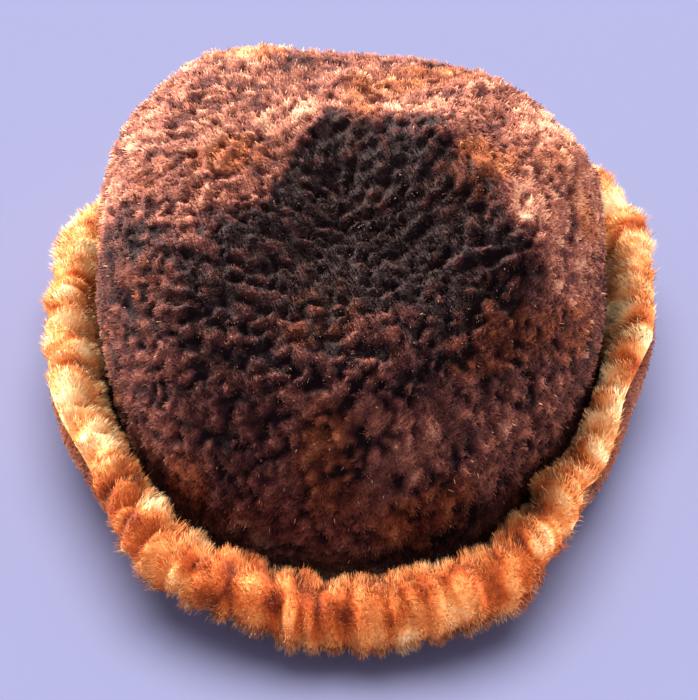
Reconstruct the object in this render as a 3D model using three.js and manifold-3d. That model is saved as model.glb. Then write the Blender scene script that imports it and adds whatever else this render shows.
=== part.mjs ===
// A soft fur hat of derby form: a rounded crown of dark sheared fur, a brim that is shallow at the
// front and back and turned up at the sides, and deep golden fur along the edge of the brim.
// Millimetres, +Z up, the front faces -Y. The origin is on the surface that the hat rests on,
// below the middle of the hat.
import * as THREE from "three";
import { mergeVertices } from "three/addons/utils/BufferGeometryUtils.js";
import Module from "manifold-3d";

const wasm = await Module();
wasm.setup();

// Driving dimensions of the crown
const crownWidth = 202; // across the fur at the widest level
const crownLength = 226; // front to back at the same level
const crownHeight = 107; // from the resting rim to the top
const crownLean = 14; // how far the top lies behind the middle of the rim
const crownWall = 11; // skin and sheared pile together

// Driving dimensions of the brim
const brimWidth = 33; // from its root on the crown to its edge, along the curve
const brimWall = 8; // two skins and their short pile
const brimSeat = 7.5; // height of the root above the resting rim
const brimTuck = 5; // how far the root runs on inside the line of the crown before it is trimmed

// Driving dimensions of the golden fur
const furBacking = 6; // thickness of the strip that carries the locks
const furReach = 24; // how far the strip covers the upper face, in from the edge
const furWrap = 3; // how far it wraps round the edge on the outer face
const lockLength = 10;
const lockWidth = 19; // along the edge
const lockThickness = 10; // across the strip
const lockSink = 2; // how far a lock's root is set into the strip
const lockPitch = 16; // between the locks of one row, along the edge

// How uneven the locks are
const LOCK_SEED = 7;
const LOCK_LENGTH_SPREAD = 0.4; // as a share of the lock's length
const LOCK_SHIFT_SPREAD = 0.3; // as a share of the pitch
const LOCK_WANDER = 0.5; // of the tip to either side, as a share of the lock's length
const LOCK_WAIST = 0.7; // width halfway up, as a share of the width at the root

const seamClearance = 0.3; // between neighbouring pieces

// Fineness of the faces
const crownColumns = 70;
const crownRows = 20;
const hollowColumns = 36;
const hollowRows = 7;
const brimColumns = 56;
const brimSteps = 6;

// Outline of the crown from rim to top: height as a share of crownHeight, reach as a share of the
// half width and half length.
const CROWN_PROFILE = [
  { height: 0.0, reach: 0.92 },
  { height: 0.14, reach: 0.955 },
  { height: 0.34, reach: 0.985 },
  { height: 0.54, reach: 0.99 },
  { height: 0.72, reach: 0.96 },
  { height: 0.86, reach: 0.87 },
  { height: 0.95, reach: 0.69 },
  { height: 0.99, reach: 0.39 },
  { height: 1.0, reach: 0.0 },
];
const LEAN_POWER = 1.6; // the lean grows with this power of the height

// Humps and dents of the soft crown, each a rounded ridge or valley between two places on it. The
// places are across, along and up, as shares of the half width, half length and height. The reach
// is a share of the half width, and the rise, which is negative for a dent, of the height.
const CROWN_FOLDS = [
  { name: "left hump", from: [-0.66, 0.36, 0.89], to: [-0.5, 0.72, 0.85], reach: 0.31, rise: 0.1 },
  { name: "middle dip", from: [-0.14, 0.62, 0.94], to: [-0.12, 0.1, 1.0], reach: 0.16, rise: -0.04 },
  { name: "back knob", from: [-0.03, 0.6, 0.95], to: [0.0, 0.62, 0.95], reach: 0.1, rise: 0.1 },
  { name: "fold, back", from: [-0.1, 0.34, 0.98], to: [0.29, 0.25, 0.99], reach: 0.14, rise: 0.075 },
  { name: "fold, front", from: [0.36, 0.18, 0.99], to: [0.64, -0.22, 0.93], reach: 0.14, rise: 0.1 },
  { name: "front hollow", from: [-0.04, -0.1, 1.0], to: [0.3, -0.2, 0.99], reach: 0.3, rise: -0.07 },
  { name: "front slope", from: [-0.2, -0.6, 0.88], to: [0.34, -0.66, 0.86], reach: 0.55, rise: -0.2 },
  { name: "right dip", from: [0.1, 0.66, 0.93], to: [0.5, 0.4, 0.94], reach: 0.22, rise: -0.07 },
  { name: "right fold", from: [0.46, 0.52, 0.92], to: [0.78, 0.2, 0.85], reach: 0.18, rise: 0.08 },
  { name: "low left swell", from: [-0.7, -0.7, 0.5], to: [-0.5, -0.86, 0.36], reach: 0.22, rise: 0.03 },
  { name: "low front swell", from: [0.1, -0.97, 0.45], to: [0.42, -0.92, 0.5], reach: 0.22, rise: 0.035 },
  { name: "back dent", from: [-0.2, 0.95, 0.62], to: [0.3, 0.93, 0.6], reach: 0.3, rise: -0.04 },
];
const FOLD_CENTRE = 0.4; // folds rise straight away from this share of the height
const FOLD_FADE = 0.12; // below this share of the height they die out towards the level rim

const OVAL_POWER = 2.2; // the plan is an oval, a little fuller than an ellipse
const BACK_FULLNESS = 0.05; // the back is wider than the front by this share of the half width

// How the brim lies, by bearing in degrees from the front through the wearer's left: its slope at
// the root and at the edge in degrees above level, its width as a share of brimWidth, and how much
// of it the golden fur covers as a share of furReach.
const BRIM_TURN = [
  { bearing: 0, rootSlope: 5, edgeSlope: 26, width: 1.04, fur: 0.68 },
  { bearing: 20, rootSlope: 7, edgeSlope: 38, width: 1.12, fur: 0.8 },
  { bearing: 46, rootSlope: 9, edgeSlope: 78, width: 1.06, fur: 1.0 },
  { bearing: 68, rootSlope: 10, edgeSlope: 88, width: 1.06, fur: 1.0 },
  { bearing: 90, rootSlope: 10, edgeSlope: 82, width: 1.3, fur: 1.0 },
  { bearing: 114, rootSlope: 10, edgeSlope: 76, width: 1.48, fur: 1.0 },
  { bearing: 150, rootSlope: 7, edgeSlope: 50, width: 1.1, fur: 1.0 },
  { bearing: 180, rootSlope: 5, edgeSlope: 26, width: 0.96, fur: 0.85 },
  { bearing: 225, rootSlope: 7, edgeSlope: 50, width: 1.05, fur: 0.95 },
  { bearing: 270, rootSlope: 10, edgeSlope: 78, width: 1.2, fur: 1.0 },
  { bearing: 304, rootSlope: 10, edgeSlope: 72, width: 1.2, fur: 1.0 },
  { bearing: 336, rootSlope: 7, edgeSlope: 40, width: 1.16, fur: 0.85 },
];
const TURN_START = 0.1; // the slope changes between these shares of the way from root to edge
const TURN_END = 0.75;

// Section of the golden strip: share of the way across it from its inner edge, and thickness as a
// share of furBacking.
const STRIP_SECTION = [
  { across: 0.0, thickness: 0.35 },
  { across: 0.3, thickness: 0.95 },
  { across: 0.6, thickness: 1.0 },
  { across: 0.76, thickness: 0.95 },
  { across: 0.88, thickness: 0.8 },
  { across: 1.0, thickness: 0.45 },
];

// Rows of golden locks along the strip: where the row runs as a share of the way across, the lean of
// its tips in degrees towards the outer face, its length as a share of lockLength, and how far the
// row is shifted along the edge as a share of the pitch.
const LOCK_ROWS = [
  { name: "inner", across: 0.36, lean: -48, length: 0.9, shift: 0.0 },
  { name: "outer", across: 0.9, lean: 32, length: 1.0, shift: 0.5 },
];

const degrees = Math.PI / 180;

// A repeatable run of numbers between 0 and 1.
function seededNumbers(seed) {
  let state = seed;
  return () => {
    state = (state + 0x6d2b79f5) | 0;
    let t = Math.imul(state ^ (state >>> 15), 1 | state);
    t = (t + Math.imul(t ^ (t >>> 7), 61 | t)) ^ t;
    return ((t ^ (t >>> 14)) >>> 0) / 4294967296;
  };
}

// Solids and meshes

function solidFrom(points, faces) {
  const geometry = new THREE.BufferGeometry().setFromPoints(points);
  geometry.setIndex(faces);
  const merged = mergeVertices(geometry, 1e-4);
  return new wasm.Manifold(
    new wasm.Mesh({
      numProp: 3,
      vertProperties: new Float32Array(merged.attributes.position.array),
      triVerts: new Uint32Array(merged.index.array),
    }),
  );
}

function meshOf(name, solid, material) {
  const made = solid.getMesh();
  const geometry = new THREE.BufferGeometry();
  geometry.setAttribute("position", new THREE.BufferAttribute(made.vertProperties, 3));
  geometry.setIndex(new THREE.BufferAttribute(made.triVerts, 1));
  geometry.computeVertexNormals();
  const mesh = new THREE.Mesh(geometry, material);
  mesh.name = name;
  return mesh;
}

function furMaterial(color, roughness) {
  return new THREE.MeshStandardMaterial({ color, roughness, metalness: 0 });
}

// The faces between rows of points, each row closed on itself.
function bandFaces(rowCount, columns, closed) {
  const faces = [];
  const bands = closed ? rowCount : rowCount - 1;
  for (let row = 0; row < bands; row += 1) {
    const next = (row + 1) % rowCount;
    for (let i = 0; i < columns; i += 1) {
      const j = (i + 1) % columns;
      const a = row * columns;
      const b = next * columns;
      faces.push(a + i, a + j, b + j, a + i, b + j, b + i);
    }
  }
  return faces;
}

// A solid from level rings of points, closed below by a flat face and above by a point.
function domeSolid(rings, foot, apex) {
  const columns = rings[0].length;
  const faces = bandFaces(rings.length, columns, false);
  const points = [...rings.flat(), foot, apex];
  const footIndex = points.length - 2;
  const last = (rings.length - 1) * columns;
  for (let i = 0; i < columns; i += 1) {
    const j = (i + 1) % columns;
    faces.push(footIndex, j, i, footIndex + 1, last + i, last + j);
  }
  return solidFrom(points, faces);
}

// A solid ring from closed sections, one for each column round the hat.
function ringSolid(sections) {
  return solidFrom(sections.flat(), bandFaces(sections.length, sections[0].length, true));
}

// Plan and crown

function planPoint(angle, halfWidth, halfLength) {
  const c = Math.cos(angle);
  const s = Math.sin(angle);
  const power = 2 / OVAL_POWER;
  const along = Math.sign(s) * Math.abs(s) ** power;
  const across = Math.sign(c) * Math.abs(c) ** power;
  return new THREE.Vector2(
    halfWidth * across * (1 + BACK_FULLNESS * along),
    halfLength * along,
  );
}

const profileCurve = new THREE.SplineCurve(
  CROWN_PROFILE.map((row) => new THREE.Vector2(row.reach, row.height)),
);

// The crown before its folds, grown outwards or, for the hollow, drawn inwards.
function smoothCrownPoint(angle, share, grow) {
  const at = profileCurve.getPoint(share);
  const plan = planPoint(angle, crownWidth / 2 + grow, crownLength / 2 + grow).multiplyScalar(at.x);
  const lean = crownLean * Math.max(0, at.y) ** LEAN_POWER;
  return new THREE.Vector3(plan.x, plan.y + lean, (crownHeight + grow) * at.y);
}

const crownFolds = CROWN_FOLDS.map((fold) => {
  const place = ([across, along, up]) =>
    new THREE.Vector3((across * crownWidth) / 2, (along * crownLength) / 2, up * crownHeight);
  return {
    line: new THREE.Line3(place(fold.from), place(fold.to)),
    reach: (fold.reach * crownWidth) / 2,
    rise: fold.rise * crownHeight,
  };
});
const foldCentre = new THREE.Vector3(0, 0, FOLD_CENTRE * crownHeight);

// How far the folds push a point of the smooth crown.
function foldPush(point) {
  const nearest = new THREE.Vector3();
  let push = 0;
  for (const { line, reach, rise } of crownFolds) {
    line.closestPointToPoint(point, true, nearest);
    push += rise * Math.exp(-point.distanceToSquared(nearest) / (reach * reach));
  }
  const fade = THREE.MathUtils.smoothstep(point.z, 0, FOLD_FADE * crownHeight);
  return point.clone().sub(foldCentre).normalize().multiplyScalar(push * fade);
}

function crownPoint(angle, share, grow) {
  return smoothCrownPoint(angle, share, grow).add(foldPush(smoothCrownPoint(angle, share, 0)));
}

function crownSolid(columns, rows, grow, drop) {
  const ring = (pointAt) =>
    Array.from({ length: columns }, (_, i) => pointAt((i / columns) * 2 * Math.PI));
  const rings = drop > 0 ? [ring((angle) => crownPoint(angle, 0, grow).setZ(-drop))] : [];
  for (let row = 0; row < rows; row += 1) {
    rings.push(ring((angle) => crownPoint(angle, row / rows, grow)));
  }
  return domeSolid(rings, new THREE.Vector3(0, 0, -drop), crownPoint(0, 1, grow));
}

function makeCrown() {
  const outer = crownSolid(crownColumns, crownRows, 0, 0);
  const hollow = crownSolid(hollowColumns, hollowRows, -crownWall, crownWall);
  return outer.subtract(hollow);
}

// Brim

// A row of the table at any bearing, eased between its neighbours.
function turnAt(bearing) {
  const b = ((bearing % 360) + 360) % 360;
  const next = BRIM_TURN.findIndex((row) => row.bearing > b);
  const to = BRIM_TURN[next < 0 ? 0 : next];
  const from = BRIM_TURN[next < 0 ? BRIM_TURN.length - 1 : next - 1];
  const span = (next < 0 ? 360 : to.bearing) - from.bearing;
  const share = THREE.MathUtils.smoothstep((b - from.bearing) / span, 0, 1);
  const mix = (key) => THREE.MathUtils.lerp(from[key], to[key], share);
  return {
    rootSlope: mix("rootSlope"),
    edgeSlope: mix("edgeSlope"),
    width: mix("width"),
    fur: mix("fur"),
  };
}

// The skin of the brim at one column: points from the root over the upper face, round the edge and
// back along the outer face, each with its outward normal, in the upright plane of that column.
function brimSkin(column) {
  const bearing = (column / brimColumns) * 360;
  const angle = (bearing - 90) * degrees;
  const turn = turnAt(bearing);
  const reach = CROWN_PROFILE[0].reach;
  const rootAt = (a) => planPoint(a, (crownWidth / 2) * reach, (crownLength / 2) * reach);
  const root = rootAt(angle);
  const along = rootAt(angle + degrees).sub(rootAt(angle - degrees)).normalize();
  const outward = new THREE.Vector3(along.y, -along.x, 0);

  const width = brimTuck + brimWidth * turn.width;
  const step = width / brimSteps;
  const middle = [];
  let out = -brimTuck;
  let up = brimSeat - brimTuck * Math.sin(turn.rootSlope * degrees);
  for (let i = 0; i <= brimSteps; i += 1) {
    const turned = THREE.MathUtils.smoothstep(i / brimSteps, TURN_START, TURN_END);
    const slope = THREE.MathUtils.lerp(turn.rootSlope, turn.edgeSlope, turned) * degrees;
    middle.push({ out, up, slope });
    out += step * Math.cos(slope);
    up += step * Math.sin(slope);
  }

  const half = brimWall / 2;
  const points = [];
  const add = (at, turned) => {
    const normal = new THREE.Vector2(Math.cos(turned), Math.sin(turned));
    points.push({
      point: new THREE.Vector2(at.out, at.up).addScaledVector(normal, half),
      normal,
    });
  };
  middle.forEach((at) => add(at, at.slope + Math.PI / 2));
  const edge = middle[brimSteps];
  [45, 0, -45].forEach((turned) => add(edge, edge.slope + turned * degrees));
  [...middle].reverse().forEach((at) => add(at, at.slope - Math.PI / 2));

  let travelled = 0;
  points.forEach((at, i) => {
    travelled += i > 0 ? at.point.distanceTo(points[i - 1].point) : 0;
    at.distance = travelled;
  });
  return {
    root,
    outward,
    points,
    edgeDistance: points[brimSteps + 2].distance,
    furReach: furReach * turn.fur,
  };
}

// A point off the skin, at a distance from the edge: negative on the upper face.
function offSkin({ root, outward, points, edgeDistance }, fromEdge, height) {
  const distance = edgeDistance + fromEdge;
  const next = Math.max(1, points.findIndex((at) => at.distance >= distance));
  const a = points[next - 1];
  const b = points[next];
  const share = (distance - a.distance) / (b.distance - a.distance);
  const normal = a.normal.clone().lerp(b.normal, share).normalize();
  const flat = a.point.clone().lerp(b.point, share).addScaledVector(normal, height);
  const lift = (v) => outward.clone().multiplyScalar(v.x).setZ(v.y);
  return {
    point: lift(flat).add(new THREE.Vector3(root.x, root.y, 0)),
    normal: lift(normal),
    onward: lift(new THREE.Vector2(normal.y, -normal.x)),
  };
}

const brimSkins = Array.from({ length: brimColumns }, (_, i) => brimSkin(i));

// The brim's whole skin as a ring, grown outwards.
function brimRing(grow) {
  return ringSolid(
    brimSkins.map((skin) =>
      skin.points.map((at) => offSkin(skin, at.distance - skin.edgeDistance, grow).point),
    ),
  );
}

// The crown and the brim grown by the clearance trim what lies against them.
const crownTrim = crownSolid(crownColumns, crownRows, seamClearance, crownWall);
const brimTrim = brimRing(seamClearance);

function makeBrim() {
  return brimRing(0).subtract(crownTrim);
}

// Golden fur

// A point on the golden strip, at a share of the way across it.
function onStrip(skin, across) {
  const next = Math.max(1, STRIP_SECTION.findIndex((row) => row.across >= across));
  const from = STRIP_SECTION[next - 1];
  const to = STRIP_SECTION[next];
  const share = (across - from.across) / (to.across - from.across);
  const thickness = THREE.MathUtils.lerp(from.thickness, to.thickness, share);
  return offSkin(skin, fromEdgeAt(skin, across), furBacking * thickness);
}

function fromEdgeAt(skin, across) {
  return THREE.MathUtils.lerp(-skin.furReach, furWrap, across);
}

function makeStrip() {
  return ringSolid(
    brimSkins.map((skin) => {
      const section = [];
      for (const { across } of STRIP_SECTION) {
        section.push(onStrip(skin, across).point);
        section.unshift(offSkin(skin, fromEdgeAt(skin, across), -brimWall / 4).point);
      }
      return section;
    }),
  );
}

// One pointed lock: three-sided, broad along the edge, bent towards its lean, with a tip that
// wanders sideways.
function makeLock(at, row, random) {
  const length = lockLength * row.length * (1 + LOCK_LENGTH_SPREAD * (random() - 0.5));
  const sideways = new THREE.Vector3().crossVectors(at.onward, at.normal);
  const wander = LOCK_WANDER * length * (random() - 0.5);
  const towards = (lean, share) =>
    at.point
      .clone()
      .addScaledVector(at.normal, length * share * Math.cos(lean * degrees))
      .addScaledVector(at.onward, length * share * Math.sin(lean * degrees))
      .addScaledVector(sideways, wander * share * share);
  const ring = (centre, size) =>
    [90, 210, 330].map((turned) =>
      centre
        .clone()
        .addScaledVector(at.onward, (size * lockThickness * Math.sin(turned * degrees)) / 2)
        .addScaledVector(sideways, (size * lockWidth * Math.cos(turned * degrees)) / 2),
    );
  const root = ring(at.point.clone().addScaledVector(at.normal, -lockSink), 1);
  const waist = ring(towards(row.lean / 2, 0.5), LOCK_WAIST);
  const faces = [...bandFaces(2, 3, false), 3, 4, 6, 4, 5, 6, 5, 3, 6, 0, 2, 1];
  return solidFrom([...root, ...waist, towards(row.lean, 1)], faces);
}

function makeBrimFur() {
  const random = seededNumbers(LOCK_SEED);
  const edge = brimSkins.map((skin) => offSkin(skin, 0, 0).point);
  const around = edge.reduce((sum, p, i) => sum + p.distanceTo(edge[(i + 1) % edge.length]), 0);
  const count = Math.round(around / lockPitch);
  let fur = makeStrip();
  for (const row of LOCK_ROWS) {
    for (let i = 0; i < count; i += 1) {
      const place = i + row.shift + LOCK_SHIFT_SPREAD * random();
      const column = (place / count) * brimColumns;
      fur = fur.add(makeLock(onStrip(brimSkin(column), row.across), row, random));
    }
  }
  return fur.subtract(crownTrim).subtract(brimTrim);
}

const hat = new THREE.Group();
hat.add(
  meshOf("crown", makeCrown(), furMaterial(0x3a1d17, 0.95)),
  meshOf("brim", makeBrim(), furMaterial(0x4a261c, 0.95)),
  meshOf("brim_fur", makeBrimFur(), furMaterial(0xb8702f, 0.9)),
);

// The origin lies below the middle of the whole hat.
const middle = new THREE.Box3().setFromObject(hat).getCenter(new THREE.Vector3());
hat.position.set(-middle.x, -middle.y, 0);

export default hat;
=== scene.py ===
"""Looks of the fur hat: sheared fur on the crown and the brim, and deep golden fur along the brim's edge.

Shapes are worked out in millimetres, as the solids are, and become metres where a mesh is made.
"""

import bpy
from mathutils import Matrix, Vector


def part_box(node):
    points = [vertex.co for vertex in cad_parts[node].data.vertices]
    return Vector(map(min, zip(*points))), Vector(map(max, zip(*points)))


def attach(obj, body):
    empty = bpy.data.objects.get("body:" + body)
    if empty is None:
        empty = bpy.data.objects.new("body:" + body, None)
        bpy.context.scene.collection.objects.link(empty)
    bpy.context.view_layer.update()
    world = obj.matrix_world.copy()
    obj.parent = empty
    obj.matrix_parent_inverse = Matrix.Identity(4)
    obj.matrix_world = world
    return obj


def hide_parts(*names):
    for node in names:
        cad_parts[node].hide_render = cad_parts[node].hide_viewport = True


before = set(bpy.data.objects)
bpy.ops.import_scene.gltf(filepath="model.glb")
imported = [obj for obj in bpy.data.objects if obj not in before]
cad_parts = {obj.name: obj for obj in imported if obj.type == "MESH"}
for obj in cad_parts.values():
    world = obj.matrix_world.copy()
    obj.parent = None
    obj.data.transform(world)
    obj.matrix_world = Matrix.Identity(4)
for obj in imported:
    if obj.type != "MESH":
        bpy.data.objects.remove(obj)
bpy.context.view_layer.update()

import math

import bpy
import numpy as np
from mathutils import Vector

MM = 0.001
FULL_TURN = 2 * math.pi

# Driving sizes of the solids
CROWN_WIDTH = 202.0
CROWN_LENGTH = 226.0
CROWN_HEIGHT = 107.0
CROWN_LEAN = 14.0
CROWN_WALL = 11.0
BRIM_WIDTH = 33.0
BRIM_WALL = 8.0
BRIM_SEAT = 7.5
BRIM_TUCK = 5.0
BRIM_STEPS = 6
FUR_REACH = 24.0
FUR_WRAP = 3.0
OVAL_POWER = 2.2
BACK_FULLNESS = 0.05
FOLD_CENTRE = 0.4
FOLD_FADE = 0.12
LEAN_POWER = 1.6
TURN_START = 0.1
TURN_END = 0.75

# Outline of the crown from rim to top: height, reach, as shares.
CROWN_PROFILE = [
    (0.0, 0.92),
    (0.14, 0.955),
    (0.34, 0.985),
    (0.54, 0.99),
    (0.72, 0.96),
    (0.86, 0.87),
    (0.95, 0.69),
    (0.99, 0.39),
    (1.0, 0.0),
]
RIM_REACH = CROWN_PROFILE[0][1]

# Humps and dents of the crown: from and to (across, along, up), reach, rise, as shares.
CROWN_FOLDS = [
    ((-0.66, 0.36, 0.89), (-0.5, 0.72, 0.85), 0.31, 0.1),
    ((-0.14, 0.62, 0.94), (-0.12, 0.1, 1.0), 0.16, -0.04),
    ((-0.03, 0.6, 0.95), (0.0, 0.62, 0.95), 0.1, 0.1),
    ((-0.1, 0.34, 0.98), (0.29, 0.25, 0.99), 0.14, 0.075),
    ((0.36, 0.18, 0.99), (0.64, -0.22, 0.93), 0.14, 0.1),
    ((-0.04, -0.1, 1.0), (0.3, -0.2, 0.99), 0.3, -0.07),
    ((-0.2, -0.6, 0.88), (0.34, -0.66, 0.86), 0.55, -0.2),
    ((0.1, 0.66, 0.93), (0.5, 0.4, 0.94), 0.22, -0.07),
    ((0.46, 0.52, 0.92), (0.78, 0.2, 0.85), 0.18, 0.08),
    ((-0.7, -0.7, 0.5), (-0.5, -0.86, 0.36), 0.22, 0.03),
    ((0.1, -0.97, 0.45), (0.42, -0.92, 0.5), 0.22, 0.035),
    ((-0.2, 0.95, 0.62), (0.3, 0.93, 0.6), 0.3, -0.04),
]

# How the brim lies: bearing from the front through the wearer's left, slope at the root and at the
# edge in degrees, width and cover of golden fur as shares, and how far the outer fur falls outwards.
BRIM_TURN = [
    (0, 5, 26, 1.04, 0.68, 1.0),
    (20, 7, 38, 1.12, 0.8, 0.9),
    (46, 9, 78, 1.06, 1.0, 0.3),
    (68, 10, 88, 1.06, 1.0, 0.1),
    (90, 10, 82, 1.3, 1.0, 0.2),
    (114, 10, 76, 1.48, 1.0, 0.3),
    (150, 7, 50, 1.1, 1.0, 0.8),
    (180, 5, 26, 0.96, 0.85, 1.0),
    (225, 7, 50, 1.05, 0.95, 0.8),
    (270, 10, 78, 1.2, 1.0, 0.4),
    (304, 10, 72, 1.2, 1.0, 0.0),
    (336, 7, 40, 1.16, 0.85, 0.5),
    (360, 5, 26, 1.04, 0.68, 1.0),
]

# Painted light falls on the crown's fur behind this line, and painted shade in front of it: across, along, as
# shares.
PAINTED_LIGHT_LINE = [
    (-1.0, 0.05),
    (-0.56, -0.22),
    (-0.36, 0.0),
    (-0.1, 0.33),
    (0.28, 0.25),
    (0.64, -0.22),
    (1.0, -0.6),
]

# Uneven fields over the hat: length of their bumps, and seed
WARP_LONG = (70, 31)
WARP_SHORT = (26, 32)
WRINKLE_SHARE = (45, 33)
ROW_DRIFT = (35, 34)
FLUFF = (7, 35)
FUZZ = (2.6, 36)
CROWN_TONE = (50, 41)
CROWN_WARMTH = (45, 42)
LINE_ACROSS = (30, 44)
LINE_ALONG = (30, 45)
CROWN_SWIRL = (60, 51)
BRIM_BUMPS_SHORT = (5, 61)
BRIM_BUMPS_LONG = (14, 62)
BRIM_TONE = (30, 63)
BRIM_WARMTH = (45, 64)
BRIM_SWIRL = (40, 71)
BRIM_SPECKLE = (6, 72)
GOLD_TONE_LONG = (30, 82)
GOLD_TONE_MIDDLE = (15, 83)
GOLD_TONE_SHORT = (7, 84)
PILE_BUMPS_LONG = (15, 85)
PILE_BUMPS_SHORT = (6, 86)
GOLD_BRIGHT = (24, 87)
GOLD_SWING = (22, 88)
GOLD_LIFT = (12, 89)

# Seeds of the crown's nubs and of all strands
NUB_SEED = 21
STRAND_SEED = 5

# Sheared fur of the crown
GRID_STEP = 0.5
GRID_COLUMNS = 1344
GRID_END = 0.6
FUR_DEPTH = 2.0
NUB_ROW_PITCH = 3.3
NUB_PITCH = 4.2
NUB_RISE = 1.7
NUB_LENGTH = 3.0
NUB_WIDTH = 2.0
NUB_SPREAD = 0.45
NUB_ROW_SCATTER = 0.8
NUB_ROUNDNESS = 0.55
WRINKLE_PITCH = 12.0
WRINKLE_RISE = 1.6
CROWN_STEP = 1.1
CROWN_COLUMNS = 600
FEWEST_COLUMNS = 20
CROWN_STRANDS = 105000
CROWN_HAIR = 1.7
CROWN_HAIR_WIDTHS = [0.34, 0.28]
# Strength of the painted light and shade over the crown, and of the painted shade in its dark middle
PAINTED_LIGHT_GAIN = 0.45
MIDDLE_PAINTED_SHADE = 1.2
WARM_COVER = 0.7
BRIGHT_HAIRS = 0.004
BACK_COVER = 0.75
INNER_COLUMNS = 150
INNER_ROWS = 36
INNER_END = 0.995

# Share of the unwrapped sheet that the crown's outer surface takes, and where its inner surface starts
OUTER_SHEET = 0.78
INNER_SHEET = 0.8

# Brim
BRIM_COLUMNS = 720
BRIM_PLACES = (-58.0, 60.0)
BRIM_STEP = 0.5
BRIM_INSET = 2.5
BRIM_KNOTS = 49
EDGE_TURNS = 11
BRIM_MESH_COLUMNS = 520
BRIM_MESH_STEP = 1.5
BRIM_STRANDS = 28000
UPPER_STRANDS = 9000
UPPER_BAND = (-40, -14)
LOWER_BAND = (FUR_WRAP - 2, 40)
BRIM_HAIR = 2.2
BRIM_HAIR_WIDTHS = [0.45, 0.36]

# Golden fur
GOLD_STRANDS = 74000
GOLD_HAIR = 3.4
GOLD_HAIR_WIDTHS = [0.32, 0.27]
GOLD_COLUMNS = 1100
GOLD_ROWS = 38
GOLD_UNDER_ROWS = 9
GROOVE = 2.4
TUFT_REACH = 7.0

# How far strands of the golden fur turn to the light from behind and above, as it passes through them
GLOW = (0.0, 0.12, 0.22)

# Section of the golden pile: across as a share, height off the skin, and lean in degrees outwards.
GOLD_PILE = [
    (0.0, 0.6, -52),
    (0.05, 4.0, -50),
    (0.12, 6.5, -42),
    (0.3, 8.8, -24),
    (0.55, 9.6, 0),
    (0.85, 8.6, 30),
    (1.0, 4.5, 52),
]

# Rows of tufts in the golden pile: across as a share, and pitch.
TUFT_ROWS = [
    (0.04, 12.0),
    (0.3, 11.0),
    (0.55, 10.0),
    (0.8, 11.0),
    (1.0, 9.0),
]

# Ramps of the furs: place, and colour as red, green and blue up to 255.
DARK_COOL = [(0.0, (24, 10, 14)), (0.3, (74, 37, 34)), (0.6, (132, 76, 60)), (1.0, (228, 174, 142))]
DARK_WARM = [(0.0, (32, 12, 8)), (0.3, (96, 42, 22)), (0.6, (150, 80, 42)), (1.0, (224, 160, 104))]
GOLD_COOL = [(0.0, (100, 36, 18)), (0.3, (180, 82, 34)), (0.6, (230, 150, 84)), (1.0, (255, 230, 178))]
# The browner golden ramp is painted shade, laid along the inner edge by the crown and at the front
GOLD_SHADED = [(0.0, (84, 42, 30)), (0.3, (146, 90, 62)), (0.6, (186, 132, 100)), (1.0, (220, 180, 148))]
DARK_SHEEN = (214, 168, 150)
BROWN_SHEEN = (220, 160, 130)
GOLD_SHEEN = (255, 220, 170)

# Surface of the furs: sizes in metres
FUR_ROUGHNESS = 0.7
FUR_SPECULAR = 0.08
SHEEN_ROUGHNESS = 0.45
TIP_GAIN = 0.5
GRAIN_SIZE = 0.0016
GRAIN_GAIN = 0.3
BUMP_SIZE = 0.0009
BUMP_DEPTH = 0.0006

# Floor, light and camera: sizes in metres, the photograph's in pixels
FLOOR_HALF = 6.0
FLOOR_COLOUR = (0.5, 0.51, 0.8, 1)
FLOOR_ROUGHNESS = 0.9
WORLD_COLOUR = (0.75, 0.76, 0.95, 1)
WORLD_STRENGTH = 0.3
HAT_MIDDLE = (0, 0, 0.06)
KEY_PLACE = (-1.445, 2.225, 1.849)
CAMERA_PITCH = 43.0
CAMERA_DISTANCE = 0.655
CAMERA_TARGET = Vector((-0.002, 0.00175, 0.018))
SENSOR_WIDTH = 36.0
PHOTO_FOCAL = 1600
PHOTO_WIDTH = 698


def smoothstep(x, low=0.0, high=1.0):
    t = np.clip((x - low) / (high - low), 0.0, 1.0)
    return t * t * (3.0 - 2.0 * t)


def mix(a, b, t):
    return a + (b - a) * t


def unit(v):
    return v / np.maximum(np.linalg.norm(v, axis=-1, keepdims=True), 1e-9)


def dot(a, b):
    return (a * b).sum(-1)


def level_and_up(outward, out, up):
    """Vectors that go this far outwards along the level and this far up."""
    return out[:, None] * outward + np.stack([0 * up, 0 * up, up], -1)


def waves(points, length, seed, count=9):
    """Smooth uneven values, mostly between -1 and 1, with bumps of about this length."""
    own = np.random.default_rng(seed)
    directions = unit(own.normal(size=(count, 3)))
    lengths = length * own.uniform(0.7, 1.4, count)
    phases = own.uniform(0, FULL_TURN, count)
    turns = points @ (directions * FULL_TURN / lengths[:, None]).T + phases
    return np.sin(turns).sum(-1) / math.sqrt(count / 2) * 0.6


def patches(points, field):
    """Soft patches of a field: 1 inside them and 0 between."""
    return smoothstep(waves(points, *field), 0.25, 0.9)


# The crown's form

def profile_at(share):
    """Reach and height of the crown's outline, as shares."""
    rows = np.array(CROWN_PROFILE)
    last = len(rows) - 1
    place = np.clip(share, 0, 1) * last
    i = np.minimum(place.astype(int), last - 1)
    t = (place - i)[..., None]
    p0, p1 = rows[np.maximum(i - 1, 0)], rows[i]
    p2, p3 = rows[i + 1], rows[np.minimum(i + 2, last)]
    v0, v1 = (p2 - p0) / 2, (p3 - p1) / 2
    at = (2 * (p1 - p2) + v0 + v1) * t**3 + (3 * (p2 - p1) - 2 * v0 - v1) * t**2 + v0 * t + p1
    return at[..., 1], at[..., 0]


def plan_at(angle, half_width, half_length):
    """The oval of the crown seen from above, fuller at the back."""
    c, s = np.cos(angle), np.sin(angle)
    power = 2 / OVAL_POWER
    along = np.sign(s) * np.abs(s) ** power
    across = np.sign(c) * np.abs(c) ** power
    return half_width * across * (1 + BACK_FULLNESS * along), half_length * along


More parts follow.
